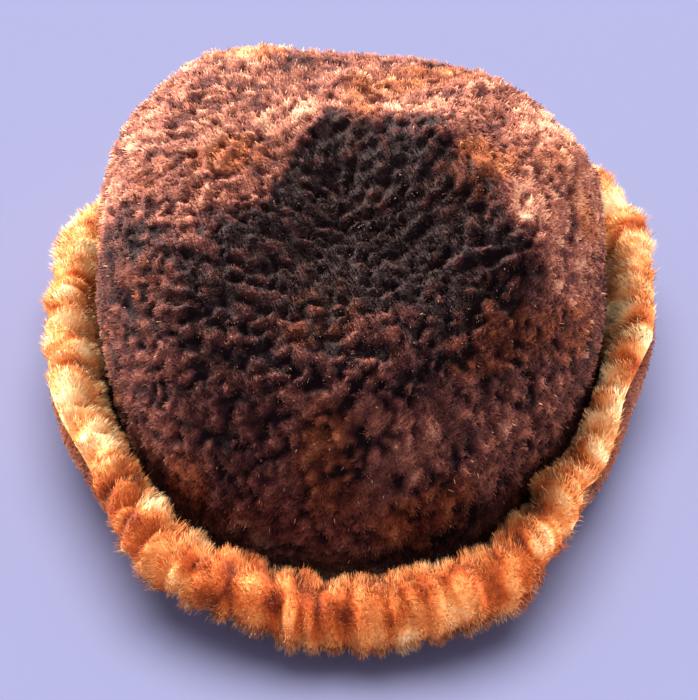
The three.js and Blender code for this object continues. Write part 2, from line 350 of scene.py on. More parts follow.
def smooth_crown(angle, share, grow=0.0):
    reach, height = profile_at(share)
    x, y = plan_at(angle, CROWN_WIDTH / 2 + grow, CROWN_LENGTH / 2 + grow)
    lean = CROWN_LEAN * np.maximum(height, 0) ** LEAN_POWER
    return np.stack([x * reach, y * reach + lean, (CROWN_HEIGHT + grow) * height + 0 * x], -1)


def fold_push(points):
    """How far the humps and dents push each point of the smooth crown."""
    half = np.array([CROWN_WIDTH / 2, CROWN_LENGTH / 2, CROWN_HEIGHT])
    push = np.zeros(points.shape[:-1])
    for start, end, reach, rise in CROWN_FOLDS:
        a, b = np.array(start) * half, np.array(end) * half
        t = np.clip(((points - a) @ (b - a)) / ((b - a) @ (b - a)), 0, 1)
        away = points - (a + t[..., None] * (b - a))
        push += rise * CROWN_HEIGHT * np.exp(-dot(away, away) / (reach * CROWN_WIDTH / 2) ** 2)
    fade = smoothstep(points[..., 2], 0, FOLD_FADE * CROWN_HEIGHT)
    return unit(points - np.array([0, 0, FOLD_CENTRE * CROWN_HEIGHT])) * (push * fade)[..., None]


def crown_at(angle, share, grow=0.0):
    angle, share = np.broadcast_arrays(angle, share)
    return smooth_crown(angle, share, grow) + fold_push(smooth_crown(angle, share))


def outline_table():
    """Shares of the outline and the length of the outline up to each, from the rim."""
    shares = np.linspace(0, 1, 800)
    reach, height = profile_at(shares)
    radius = (CROWN_WIDTH + CROWN_LENGTH) / 4
    steps = np.hypot(np.diff(reach) * radius, np.diff(height) * CROWN_HEIGHT)
    return shares, np.concatenate([[0], np.cumsum(steps)])


OUTLINE_SHARES, OUTLINE_LENGTHS = outline_table()
CROWN_SPAN = OUTLINE_LENGTHS[-1]


def share_at(length):
    return np.interp(length, OUTLINE_LENGTHS, OUTLINE_SHARES)


def grid_normals(points):
    around = np.roll(points, -1, 1) - np.roll(points, 1, 1)
    return unit(np.cross(around, np.gradient(points, axis=0)))


def sample(grid, row, column):
    """Values between the points of a grid whose columns close on themselves."""
    rows, columns = grid.shape[:2]
    row = np.clip(row, 0, rows - 1.001)
    r, c = np.floor(row).astype(int), np.floor(column).astype(int)
    fr, fc = row - r, column - c
    if grid.ndim == 3:
        fr, fc = fr[..., None], fc[..., None]
    c0, c1 = c % columns, (c + 1) % columns
    return mix(mix(grid[r, c0], grid[r, c1], fc), mix(grid[r + 1, c0], grid[r + 1, c1], fc), fr)


def painted_light_and_shade(points):
    """Painted light and shade over the crown: 1 where light falls behind the line, less lower down the sides,
    and below 0 for the painted shade of the dark middle.
    """
    line = np.array(PAINTED_LIGHT_LINE)
    across = points[..., 0] / (CROWN_WIDTH / 2) + 0.05 * waves(points, *LINE_ACROSS)
    along = points[..., 1] / (CROWN_LENGTH / 2) + 0.05 * waves(points, *LINE_ALONG)
    behind = smoothstep(along - np.interp(across, line[:, 0], line[:, 1]), -0.1, 0.1)
    middle = np.exp(-(((across - 0.05) / 0.5) ** 2) - ((along + 0.12) / 0.36) ** 2)
    down = 0.25 * smoothstep(along, 0.3, 0.8)
    height = smoothstep(points[..., 2] / CROWN_HEIGHT - down, 0.45, 0.8)
    return behind * mix(0.1, 1.0, height) - MIDDLE_PAINTED_SHADE * middle * (1 - behind)


def wrinkles(points, heights):
    """Wrinkles that run round the upper part of the crown, most at its sides and back."""
    level = points[..., 2] / CROWN_HEIGHT
    side = np.abs(points[..., 0]) / (CROWN_WIDTH / 2)
    back = points[..., 1] / (CROWN_LENGTH / 2)
    warp = 8 * waves(points, *WARP_LONG) + 4 * waves(points, *WARP_SHORT)
    ridge = 0.5 + 0.5 * np.cos(FULL_TURN * (heights[:, None] + warp) / WRINKLE_PITCH)
    off_front = np.maximum(smoothstep(side, 0.2, 0.6), smoothstep(back, -0.1, 0.4))
    where = smoothstep(level, 0.35, 0.62) * mix(0.35, 1.0, off_front)
    return WRINKLE_RISE * (ridge - 0.5) * where * (0.7 + 0.5 * waves(points, *WRINKLE_SHARE))


def nub_shape(own, centre, loose, painted_lit):
    """Length, width, turn and height of one nub. Loose ones stand upright and are bigger. Under the painted
    light nubs are lower, and on its left side they stand more upright.
    """
    big = math.exp(own.normal(0, NUB_SPREAD)) * mix(0.85, 1.1, loose)
    long_side = NUB_LENGTH * big * own.uniform(0.9, 1.4)
    upright = max(loose, painted_lit * smoothstep(-centre[0], 0, 40))
    turn = mix(0.15, 1.25, upright) * (1 if own.uniform() < 0.7 else -1) + own.normal(0, 0.6)
    high = NUB_RISE * own.uniform(0.65, 1.15) * mix(1.0, 1.25, loose) * mix(1.05, 0.8, painted_lit)
    return long_side, NUB_WIDTH * big, turn, high


def crown_grid():
    """The crown's surface as a fine grid, with its fur laid in wrinkles and nubs."""
    own = np.random.default_rng(NUB_SEED)
    heights = np.arange(0, CROWN_SPAN - GRID_END, GRID_STEP)
    angles = np.arange(GRID_COLUMNS) / GRID_COLUMNS * FULL_TURN
    points = crown_at(angles[None, :], share_at(heights)[:, None])
    normals = grid_normals(points)
    around = unit(np.roll(points, -1, 1) - np.roll(points, 1, 1))
    up = np.cross(normals, around)
    level = points[..., 2] / CROWN_HEIGHT
    front = -points[..., 1] / (CROWN_LENGTH / 2)
    # Painted light and shade over the crown, which also sets how the nubs stand
    painted_lit = painted_light_and_shade(points)
    last = len(heights) - 1

    nub = np.zeros(points.shape[:2])
    owner = np.full(points.shape[:2], -1)
    centres, tones, tips = [], [], []
    row_at = NUB_ROW_PITCH * 0.4
    steps = np.linalg.norm(points - np.roll(points, 1, 1), axis=-1)
    while row_at < CROWN_SPAN - 1:
        i = min(int(row_at / GRID_STEP), last)
        travelled = np.cumsum(steps[i])
        count = max(3, int(round(travelled[-1] / NUB_PITCH)))
        places = (np.arange(count) + own.uniform(0, 1) + own.uniform(-0.5, 0.5, count)) / count
        columns = np.interp((places % 1) * travelled[-1], travelled, np.arange(GRID_COLUMNS))
        rows = i + own.normal(0, NUB_ROW_SCATTER, count) * NUB_ROW_PITCH / GRID_STEP
        for column, row in zip(columns.astype(int), rows):
            drift = 3 * waves(points[i, column], *ROW_DRIFT) / GRID_STEP
            j = int(np.clip(row + drift, 0, last))
            centre = points[j, column]
            loose = smoothstep(front[j, column], 0.1, 0.6) * (1 - smoothstep(level[j, column], 0.5, 0.85))
            long_side, short_side, turn, high = nub_shape(own, centre, loose, painted_lit[j, column])
            lengthwise = around[j, column] * math.cos(turn) + up[j, column] * math.sin(turn)
            sideways = up[j, column] * math.cos(turn) - around[j, column] * math.sin(turn)
            reach = max(long_side, short_side)
            r0 = max(0, j - int(reach / GRID_STEP) - 1)
            r1 = min(len(heights), j + int(reach / GRID_STEP) + 2)
            half = min(GRID_COLUMNS // 2, int(reach / (steps[j, column] + 1e-6)) + 2)
            cols = (column + np.arange(-half, half)) % GRID_COLUMNS
            patch = points[r0:r1][:, cols] - centre
            away = (patch @ lengthwise / long_side) ** 2 + (patch @ sideways / short_side) ** 2
            dome = high * np.maximum(0, 1 - away) ** NUB_ROUNDNESS
            seen = nub[r0:r1][:, cols]
            higher = dome > seen
            block = np.ix_(np.arange(r0, r1), cols)
            nub[block] = np.where(higher, dome, seen)
            owner[block] = np.where(higher, len(centres), owner[block])
            centres.append(centre + normals[j, column] * high)
            tones.append(own.normal(0, 1))
            tips.append(-up[j, column] * short_side * 0.5)
        row_at += NUB_ROW_PITCH

    fade = smoothstep(points[..., 2], 1.0, 8.0)
    uneven = wrinkles(points, heights) + nub + 0.5 * waves(points, *FLUFF) + 0.3 * waves(points, *FUZZ)
    outer = points + normals * (uneven * fade - FUR_DEPTH)[..., None]
    outer[..., 2] = np.maximum(outer[..., 2], 0)
    tones.append(0.0)
    return {
        "heights": heights,
        "points": points,
        "outer": outer,
        "normals": grid_normals(outer),
        "smooth": normals,
        "around": around,
        "up": up,
        "depth": nub / NUB_RISE * fade,
        "owner": owner,
        "centres": np.array(centres),
        "tips": np.array(tips),
        "tone": np.array(tones)[owner],
    }


# The brim's form

def brim_line(root_slope, edge_slope, wide):
    """The brim's middle line at one bearing: distance outwards, height and slope of its points."""
    length = (BRIM_TUCK + BRIM_WIDTH * wide) / BRIM_STEPS
    knots = np.arange(BRIM_STEPS + 1)
    turned = smoothstep(knots / BRIM_STEPS, TURN_START, TURN_END)
    slopes = np.radians(mix(root_slope, edge_slope, turned))
    root_height = BRIM_SEAT - BRIM_TUCK * math.sin(math.radians(root_slope))
    out = -BRIM_TUCK + np.concatenate([[0], np.cumsum(length * np.cos(slopes[:-1]))])
    up = root_height + np.concatenate([[0], np.cumsum(length * np.sin(slopes[:-1]))])
    fine = np.linspace(0, BRIM_STEPS, BRIM_KNOTS)
    out, up, slopes = (np.interp(fine, knots, v) for v in (out, up, slopes))
    for _ in range(3):
        out[1:-1] = (out[:-2] + 2 * out[1:-1] + out[2:]) / 4
        up[1:-1] = (up[:-2] + 2 * up[1:-1] + up[2:]) / 4
    return out, up, slopes


def brim_section(out, up, slopes):
    """The brim's skin at one bearing, over the upper face, round the edge and back below."""
    round_edge = slopes[-1] + np.radians(np.linspace(75, -75, EDGE_TURNS))
    turned = np.concatenate([slopes + math.pi / 2, round_edge, slopes[::-1] - math.pi / 2])
    half = BRIM_WALL / 2
    at_out = np.concatenate([out, np.full(EDGE_TURNS, out[-1]), out[::-1]]) + half * np.cos(turned)
    at_up = np.concatenate([up, np.full(EDGE_TURNS, up[-1]), up[::-1]]) + half * np.sin(turned)
    travelled = np.concatenate([[0], np.cumsum(np.hypot(np.diff(at_out), np.diff(at_up)))])
    travelled -= travelled[len(out) + EDGE_TURNS // 2]
    return travelled, (at_out, at_up, turned)


def brim_grid():
    """The skin of the brim by bearing and by distance from its edge, negative on the upper face."""
    bearings = np.arange(BRIM_COLUMNS) / BRIM_COLUMNS * 360
    table = np.array(BRIM_TURN, float)
    places = np.arange(*BRIM_PLACES, BRIM_STEP)
    shape = (BRIM_COLUMNS, len(places), 3)
    made = {key: np.zeros(shape) for key in ("points", "normals", "onward", "sideways")}
    covers, falls = np.zeros(BRIM_COLUMNS), np.zeros(BRIM_COLUMNS)
    for k, bearing in enumerate(bearings):
        i = np.searchsorted(table[:, 0], bearing, side="right") - 1
        share = smoothstep((bearing - table[i, 0]) / (table[i + 1, 0] - table[i, 0]))
        root_slope, edge_slope, wide, covers[k], falls[k] = mix(table[i, 1:], table[i + 1, 1:], share)
        angle = math.radians(bearing - 90)
        around = np.array([angle - math.radians(1), angle, angle + math.radians(1)])
        x, y = plan_at(around, CROWN_WIDTH / 2 * RIM_REACH, CROWN_LENGTH / 2 * RIM_REACH)
        along = unit(np.array([x[2] - x[0], y[2] - y[0], 0.0]))
        outward = np.array([along[1], -along[0], 0.0])
        travelled, section = brim_section(*brim_line(root_slope, edge_slope, wide))
        o, u, a = (np.interp(places, travelled, v) for v in section)
        made["points"][k] = np.array([x[1], y[1], 0]) + level_and_up(outward, o, u)
        made["normals"][k] = level_and_up(outward, np.cos(a), np.sin(a))
        made["onward"][k] = level_and_up(outward, np.sin(a), -np.cos(a))
        made["sideways"][k] = along
    made = {key: np.swapaxes(value, 0, 1) for key, value in made.items()}
    return {**made, "places": places, "cover": covers, "fall": falls}


def outside_crown(points, gap):
    """The points, moved out level where they would lie within this gap of the crown."""
    reach, height = profile_at(np.linspace(0, 1, 400))
    share = np.clip(points[..., 2] / CROWN_HEIGHT, 0, 0.9)
    x = points[..., 0]
    y = points[..., 1] - CROWN_LEAN * share**LEAN_POWER
    half_length = CROWN_LENGTH / 2 + gap
    half_width = (CROWN_WIDTH / 2 + gap) * (1 + BACK_FULLNESS * np.clip(y / half_length, -1, 1))
    oval = np.abs(x / half_width) ** OVAL_POWER + np.abs(y / half_length) ** OVAL_POWER
    size = oval ** (1 / OVAL_POWER)
    grow = np.maximum(1, np.interp(share, height, reach) / np.maximum(size, 1e-6))
    return np.stack([x * grow, points[..., 1] - y + y * grow, points[..., 2]], -1)


# Meshes

def add_object(name, data):
    obj = bpy.data.objects.new(name, data)
    bpy.context.scene.collection.objects.link(obj)
    return obj


def mesh_piece(name, points, faces, material, nodes, values, uv, normals=None):
    """One piece of the visual model. Faces is a list of arrays, each of faces with as many corners."""
    mesh = bpy.data.meshes.new(name)
    points = points + SHIFT
    mesh.vertices.add(len(points))
    mesh.vertices.foreach_set("co", (points * MM).astype(np.float32).ravel())
    corners = np.concatenate([f.ravel() for f in faces])
    sizes = np.concatenate([np.full(len(f), f.shape[1]) for f in faces])
    starts = np.concatenate([[0], np.cumsum(sizes)[:-1]])
    mesh.loops.add(len(corners))
    mesh.loops.foreach_set("vertex_index", corners.astype(np.int32))
    mesh.polygons.add(len(sizes))
    mesh.polygons.foreach_set("loop_start", starts.astype(np.int32))
    mesh.polygons.foreach_set("loop_total", sizes.astype(np.int32))
    mesh.update(calc_edges=True)
    mesh.polygons.foreach_set("use_smooth", np.full(len(sizes), True))
    for key, value in values.items():
        mesh.attributes.new(key, "FLOAT", "POINT").data.foreach_set("value", value.astype(np.float32))
    mesh.uv_layers.new(name="OFBake").data.foreach_set("uv", uv[corners].astype(np.float32).ravel())
    if normals is not None:
        mesh.normals_split_custom_set_from_vertices(normals.astype(np.float32))
    mesh.materials.append(material)
    obj = add_object(name, mesh)
    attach(obj, "root")
    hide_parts(*nodes)


def ring_faces(rows, columns):
    """Faces of a grid that closes on itself both ways."""
    row, i = np.divmod(np.arange(rows * columns), columns)
    a, b = row * columns, (row + 1) % rows * columns
    j = (i + 1) % columns
    return np.stack([a + i, b + i, b + j, a + j], -1)


def scatter(points, count, weight=None):
    """Rows and columns of places spread evenly by area over a grid."""
    around = np.roll(points, -1, 1)[:-1] - points[:-1]
    area = np.linalg.norm(np.cross(around, points[1:] - points[:-1]), axis=-1)
    if weight is not None:
        area = area * weight[:-1]
    total = np.cumsum(area.ravel())
    found = np.searchsorted(total, draw.uniform(0, total[-1], count))
    row, column = np.divmod(found, area.shape[1])
    return row + draw.uniform(0, 1, count), column + draw.uniform(0, 1, count)


def flat_sides(way, surface, spread):
    """The flat direction of each strand and the way that it faces, which is outwards."""
    side = unit(np.cross(way, surface) + spread * draw.normal(size=way.shape))
    side = unit(side - way * dot(side, way)[:, None])
    face = np.cross(side, way)
    flip = np.sign(dot(face, surface))[:, None]
    return side * flip, face * flip


def strand_piece(name, lines, sides, widths, normals, tones, material, slot, nodes):
    """Strands of fur joined in one mesh. Lines holds the middle line of each, from root to tip."""
    count, rings = lines.shape[:2]
    half = sides[:, None] * (np.array(widths)[None, :, None] / 2)
    left, right = lines[:, :-1] - half, lines[:, :-1] + half
    points = np.concatenate([np.stack([left, right], 2).reshape(count, -1, 3), lines[:, -1:]], 1)
    each = points.shape[1]
    pattern = []
    for k in range(rings - 2):
        a = 2 * k
        pattern += [(a, a + 1, a + 3), (a, a + 3, a + 2)]
    pattern.append((each - 3, each - 2, each - 1))
    faces = (np.arange(count)[:, None, None] * each + np.array(pattern)[None]).reshape(-1, 3)
    along = np.repeat(np.linspace(0, 1, rings), 2)[:-1]
    grid = math.ceil(math.sqrt(count))
    cell = np.stack([np.arange(count) % grid, np.arange(count) // grid], -1)[:, None]
    across = np.append(np.tile([0.2, 0.8], rings - 1), 0.5)
    inside = np.stack([across, 0.1 + 0.8 * along], -1)[None]
    uv = ((cell + inside) / grid).reshape(-1, 2)
    values = {
        "tip": np.tile(along, count),
        "tone": np.repeat(tones[:, 0], each),
        "warm": np.repeat(tones[:, 1], each),
    }
    vertex_normals = np.repeat(normals, each, axis=0)
    mesh_piece(name, points.reshape(-1, 3), [faces], material, nodes, values, uv, vertex_normals)


# Materials

def linear(colour):
    """A colour of up to 255 as a shader takes it."""
    shares = (c / 255 / 12.92 if c <= 10 else ((c / 255 + 0.055) / 1.055) ** 2.4 for c in colour)
    return tuple(shares) + (1.0,)


def nodes_of(name):
    material = bpy.data.materials.new(name)
    material.use_nodes = True
    return material, material.node_tree, material.node_tree.nodes["Principled BSDF"]


def attribute(tree, name):
    node = tree.nodes.new("ShaderNodeAttribute")
    node.attribute_name = name
    return node.outputs["Fac"]


def math_node(tree, operation, *values):
    node = tree.nodes.new("ShaderNodeMath")
    node.operation = operation
    for socket, value in zip(node.inputs, values):
        if isinstance(value, (int, float)):
            socket.default_value = value
        else:
            tree.links.new(value, socket)
    return node.outputs[0]


def ramp(tree, value, stops):
    node = tree.nodes.new("ShaderNodeValToRGB")
    tree.links.new(value, node.inputs[0])
    elements = node.color_ramp.elements
    while len(elements) < len(stops):
        elements.new(0.5)
    for element, (place, colour) in zip(elements, stops):
        element.position = place
        element.color = linear(colour)
    return node.outputs[0]


def noise(tree, size, detail=2.0):
    """Noise with bumps of about this size in metres."""
    where = tree.nodes.new("ShaderNodeTexCoord")
    node = tree.nodes.new("ShaderNodeTexNoise")
    node.inputs["Scale"].default_value = 1 / size
    node.inputs["Detail"].default_value = detail
    tree.links.new(where.outputs["Object"], node.inputs["Vector"])
    return node.outputs["Fac"]


def blend_colours(tree, factor, a, b):
    node = tree.nodes.new("ShaderNodeMix")
    node.data_type = "RGBA"
    tree.links.new(factor, node.inputs["Factor"])
    tree.links.new(a, node.inputs[6])
    tree.links.new(b, node.inputs[7])
    return node.outputs[2]


def fur_material(name, cool, warm, sheen, sheen_tint, bump=0.0):
    """Fur coloured from root to tip by a ramp, with uneven tone and patches of a second ramp, which on the
    golden fur is painted shade.
    """
    material, tree, shader = nodes_of(name)
    tip = attribute(tree, "tip")
    tone = attribute(tree, "tone")
    uneven = math_node(tree, "MULTIPLY_ADD", noise(tree, GRAIN_SIZE), GRAIN_GAIN, -GRAIN_GAIN / 2)
    place = math_node(tree, "MULTIPLY_ADD", tip, TIP_GAIN, tone)
    place = math_node(tree, "ADD", place, uneven)
    colour = blend_colours(tree, attribute(tree, "warm"), ramp(tree, place, cool), ramp(tree, place, warm))
    tree.links.new(colour, shader.inputs["Base Color"])
    shader.inputs["Roughness"].default_value = FUR_ROUGHNESS
    shader.inputs["Specular IOR Level"].default_value = FUR_SPECULAR
    shader.inputs["Sheen Weight"].default_value = sheen
    shader.inputs["Sheen Roughness"].default_value = SHEEN_ROUGHNESS
    shader.inputs["Sheen Tint"].default_value = linear(sheen_tint)
    if bump:
        node = tree.nodes.new("ShaderNodeBump")
        node.inputs["Distance"].default_value = bump
        tree.links.new(noise(tree, BUMP_SIZE, 3.0), node.inputs["Height"])
        tree.links.new(node.outputs[0], shader.inputs["Normal"])
    return material


dark_fur = fur_material("dark_fur", DARK_COOL, DARK_WARM, 0.12, DARK_SHEEN, BUMP_DEPTH)
dark_nap = fur_material("dark_nap", DARK_COOL, DARK_WARM, 0.15, DARK_SHEEN)
brown_fur = fur_material("brown_fur", DARK_WARM, DARK_COOL, 0.5, BROWN_SHEEN, BUMP_DEPTH)
brown_nap = fur_material("brown_nap", DARK_WARM, DARK_COOL, 0.5, BROWN_SHEEN)
golden_skin = fur_material("golden_skin", GOLD_COOL, GOLD_SHADED, 0.2, GOLD_SHEEN, BUMP_DEPTH)
golden_fur = fur_material("golden_fur", GOLD_COOL, GOLD_SHADED, 0.25, GOLD_SHEEN)


# Crown

def shift_to_solid(points):
    """The level shift from these points' middle to the middle of the crown's solid."""
    low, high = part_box("crown")
    middle = (np.array(low) + np.array(high)) / 2 / MM
    own = points.reshape(-1, 3)
    x = middle[0] - (own[:, 0].min() + own[:, 0].max()) / 2
    y = middle[1] - (own[:, 1].min() + own[:, 1].max()) / 2
    return np.array([x, y, 0.0])


draw = np.random.default_rng(STRAND_SEED)
crown = crown_grid()
SHIFT = shift_to_solid(crown["points"])


def nub_tones(row, column):
    return crown["tone"][row.astype(int), column.astype(int) % GRID_COLUMNS]


def ring_counts():
    """Rows of the crown's mesh, and how many points each has: fewer where the crown draws in."""
    rows, counts = [], []
    count = CROWN_COLUMNS
    for at in np.arange(0, crown["heights"][-1], CROWN_STEP):
        ring = crown["points"][int(at / GRID_STEP)]
        around = np.linalg.norm(ring - np.roll(ring, 1, 0), axis=-1).sum()
        if around < count / 2 * CROWN_STEP and count >= FEWEST_COLUMNS and count % 2 == 0:
            count //= 2
        rows.append(at)
        counts.append(count)
    return rows, counts


def outer_faces(starts, counts, apex):
    """Faces between the rings of the outer surface, where a ring may have half the points of the last."""
    quads, tris = [], []
    for a, b, n, m in zip(starts, starts[1:], counts, counts[1:]):
        i = np.arange(n)
        if n == m:
            quads.append(np.stack([a + i, a + (i + 1) % n, b + (i + 1) % n, b + i], -1))
            continue
        h = np.arange(m)
        h1 = (h + 1) % m
        p, q, r = a + 2 * h, a + 2 * h + 1, a + (2 * h + 2) % n
        tris.append(np.stack([p, q, b + h], -1))
        tris.append(np.stack([q, b + h1, b + h], -1))
        tris.append(np.stack([q, r, b + h1], -1))
    n = counts[-1]
    i = np.arange(n)
    tris.append(np.stack([starts[-1] + i, starts[-1] + (i + 1) % n, np.full(n, apex)], -1))
    return quads, tris


def inner_faces(start, top, rim_count):
    """Faces of the inner surface, and of the level rim that joins it to the outer surface."""
    quads = [start + ring_faces(INNER_ROWS, INNER_COLUMNS)[:-INNER_COLUMNS]]
    i = np.arange(INNER_COLUMNS)
    j = (i + 1) % INNER_COLUMNS
    last = top - INNER_COLUMNS
    tris = [np.stack([last + j, last + i, np.full(INNER_COLUMNS, top)], -1)]
    ratio = rim_count // INNER_COLUMNS
    for k in range(ratio):
        o = ratio * i + k
        tris.append(np.stack([start + i, (o + 1) % rim_count, o], -1))
    tris.append(np.stack([start + i, start + j, (ratio * (i + 1)) % rim_count], -1))
    return quads, tris


def crown_surface():
    """The outer surface, the level rim and the inner surface, closed."""
    rings = []

    def add(points, around, up, depth, tone):
        """One ring: its points, its place on the unwrapped sheet, and its fur's depth and tone."""
        count = len(points)
        sheet = np.stack([around, np.full(count, up)], -1)
        rings.append((points, sheet, np.broadcast_to(depth, count), np.broadcast_to(tone, count)))

    rows, counts = ring_counts()
    for at, count in zip(rows, counts):
        share = np.arange(count) / count
        column = share * GRID_COLUMNS
        row = np.full(count, at / GRID_STEP)
        depth = sample(crown["depth"], row, column)
        height = OUTER_SHEET * at / CROWN_SPAN
        add(sample(crown["outer"], row, column), share, height, depth, nub_tones(row, column))
    starts = np.concatenate([[0], np.cumsum(counts)])
    apex = starts[-1]
    add(crown["outer"][-1].mean(0, keepdims=True), [0.5], OUTER_SHEET, 0.5, 0.0)
    quads, tris = outer_faces(starts[:-1], counts, apex)

    share = np.arange(INNER_COLUMNS) / INNER_COLUMNS
    for k, at in enumerate(np.linspace(0, CROWN_SPAN * INNER_END, INNER_ROWS)):
        ring = crown_at(share * FULL_TURN, np.array(share_at(at)), -CROWN_WALL)
        add(ring, share, INNER_SHEET + (1 - INNER_SHEET) * k / INNER_ROWS, 0.5, 0.0)
    add(ring.mean(0, keepdims=True), [0.5], 1.0, 0.5, 0.0)
    top = apex + 1 + INNER_ROWS * INNER_COLUMNS
    inside_quads, inside_tris = inner_faces(apex + 1, top, counts[0])
    faces = [np.concatenate(part) for part in (quads, tris, inside_quads, inside_tris)]
    points, uv, depth, tone = (np.concatenate(part) for part in zip(*rings))
    return points, faces, depth, tone, uv


def crown_fur():
    points, faces, depth, tone, uv = crown_surface()
    uneven = 0.05 * tone + 0.08 * waves(points, *CROWN_TONE)
    values = {
        # Darker in the gaps between nubs: partly the fur's darker base, partly painted shade
        "tip": depth,
        # Painted light behind the line over the crown, and painted shade in front of it and in the dark
        # middle
        "tone": 0.05 + uneven + PAINTED_LIGHT_GAIN * (painted_light_and_shade(points) - 0.5),
        "warm": WARM_COVER * patches(points, CROWN_WARMTH),
    }
    mesh_piece("crown_fur", points, faces, dark_fur, ["crown"], values, uv)


def crown_nap():
    """Short strands over the crown's surface, each drawn to the tip of its nub."""
    above_brim = smoothstep(crown["points"][..., 2], 8.0, 10.0)
    cover = above_brim * np.where(crown["points"][..., 1] < 0, 1.0, BACK_COVER)
    row, column = scatter(crown["outer"], CROWN_STRANDS, cover)
    count = len(row)
    root = sample(crown["outer"], row, column)
    surface = unit(sample(crown["normals"], row, column))
    smooth = unit(sample(crown["smooth"], row, column))
    around = unit(sample(crown["around"], row, column))
    up = unit(sample(crown["up"], row, column))
    owner = crown["owner"][row.astype(int), column.astype(int) % GRID_COLUMNS]
    turn = 0.9 * waves(root, *CROWN_SWIRL) + draw.normal(0, 0.35, count)
    flow = -up * np.cos(turn)[:, None] + around * np.sin(turn)[:, None]
    lean = np.radians(draw.normal(34, 14, count))[:, None]
    way = unit(surface * np.cos(lean) + flow * np.sin(lean) + draw.normal(0, 0.12, root.shape))
    depth = sample(crown["depth"], row, column)
    length = CROWN_HAIR * draw.uniform(0.6, 1.3, count) * mix(0.4, 1.0, smoothstep(depth, 0.1, 0.6))
    tip = root + way * length[:, None]
    target = crown["centres"][owner] + crown["tips"][owner]
    pull = np.where(owner >= 0, 0.3, 0.0)[:, None]
    tip = mix(tip, target + (tip - target) * 0.4, pull)
    bend = mix(root, tip, 0.55) + surface * 0.25 * draw.uniform(0, 1, (count, 1))
    tip[:, 2] = np.maximum(tip[:, 2], 0.3)
    lines = np.stack([root - surface * 0.4, bend, tip], 1)
    side, face = flat_sides(unit(tip - root), surface, 0.5)
    normals = unit(smooth * 0.45 + surface * 0.35 + face * 0.2)
    # Strands in the gaps between nubs are darker: partly the fur's darker base, partly painted shade
    tone = -0.05 + 0.34 * depth + 0.1 * nub_tones(row, column)
    tone += 0.08 * waves(root, *CROWN_TONE) + 0.07 * draw.normal(size=count)
    # Painted light behind the line over the crown, and painted shade in front of it and in the dark middle
    tone += PAINTED_LIGHT_GAIN * (painted_light_and_shade(root) - 0.45)
    tone += np.where(draw.uniform(size=count) < BRIGHT_HAIRS, 0.7, 0)
    tones = np.stack([tone, WARM_COVER * patches(root, CROWN_WARMTH)], -1)
    for name, chosen in (("crown_nap_front", root[:, 1] < 0), ("crown_nap_back", root[:, 1] >= 0)):
        laid = (lines[chosen], side[chosen], CROWN_HAIR_WIDTHS, normals[chosen], tones[chosen])
        strand_piece(name, *laid, dark_nap, "dark_fur", ["crown"])


crown_fur()
crown_nap()


# Brim

brim = brim_grid()


def on_brim(place, column, key):
    return sample(brim[key], (place - brim["places"][0]) / BRIM_STEP, column)


def brim_ends(column):
    """Where the skin comes out of the crown's wall: the first and last distance from the brim's edge."""
    out = on_brim(brim["places"], np.full(len(brim["places"]), column), "points")
    angle = math.radians(column * 360 / BRIM_COLUMNS - 90)
    half_width = CROWN_WIDTH / 2 * RIM_REACH - BRIM_INSET
    half_length = CROWN_LENGTH / 2 * RIM_REACH - BRIM_INSET
    root = plan_at(angle, half_width, half_length)
    outside = brim["places"][np.hypot(out[:, 0], out[:, 1]) > math.hypot(*root)]
    return outside[0], outside[-1]


def brim_surface():
    """The brim as a closed ring, from its root on the crown round the edge and back."""
    share = np.arange(BRIM_MESH_COLUMNS) / BRIM_MESH_COLUMNS
    column = share * BRIM_COLUMNS
    first, last = np.array([brim_ends(c) for c in column]).T
    count = int((last - first).mean() / BRIM_MESH_STEP)
    onward = np.linspace(0, 1, count)
    points = np.stack([on_brim(mix(first, last, t), column, "points") for t in onward])
    normals = np.stack([on_brim(mix(first, last, t), column, "normals") for t in onward])
    bump = 0.5 * waves(points, *BRIM_BUMPS_SHORT) + 0.5 * waves(points, *BRIM_BUMPS_LONG) - 0.8
    ends = smoothstep(onward, 0, 0.06) * (1 - smoothstep(onward, 0.94, 1))
    points = points + normals * (bump * ends[:, None])[..., None]
    uv = np.stack([np.tile(share, count), np.repeat(onward, BRIM_MESH_COLUMNS)], -1)
    return points.reshape(-1, 3), [ring_faces(count, BRIM_MESH_COLUMNS)], uv


def brim_skin():
    """The brim's surface, with painted shade on its upper face between the crown and the golden fur."""
    points, faces, uv = brim_surface()
    values = {
        "tip": np.full(len(points), 0.35),
        # Painted shade on the brim's upper face, between the crown and the golden fur
        "tone": 0.1 + 0.08 * waves(points, *BRIM_TONE) - 0.45 * (uv[:, 1] < 0.45),
        "warm": patches(points, BRIM_WARMTH),
    }
    mesh_piece("brim_skin", points, faces, brown_fur, ["brim"], values, uv)


def strands_on_brim(count, first, last):
    """Evenly spread places on the brim between two distances from its edge, with their frames."""
    rows = (brim["places"] >= first) & (brim["places"] <= last)
    row, column = scatter(brim["points"][rows], count)
    place = brim["places"][rows][0] + row * BRIM_STEP
    return (place, *(on_brim(place, column, key) for key in ("points", "normals", "onward", "sideways")))


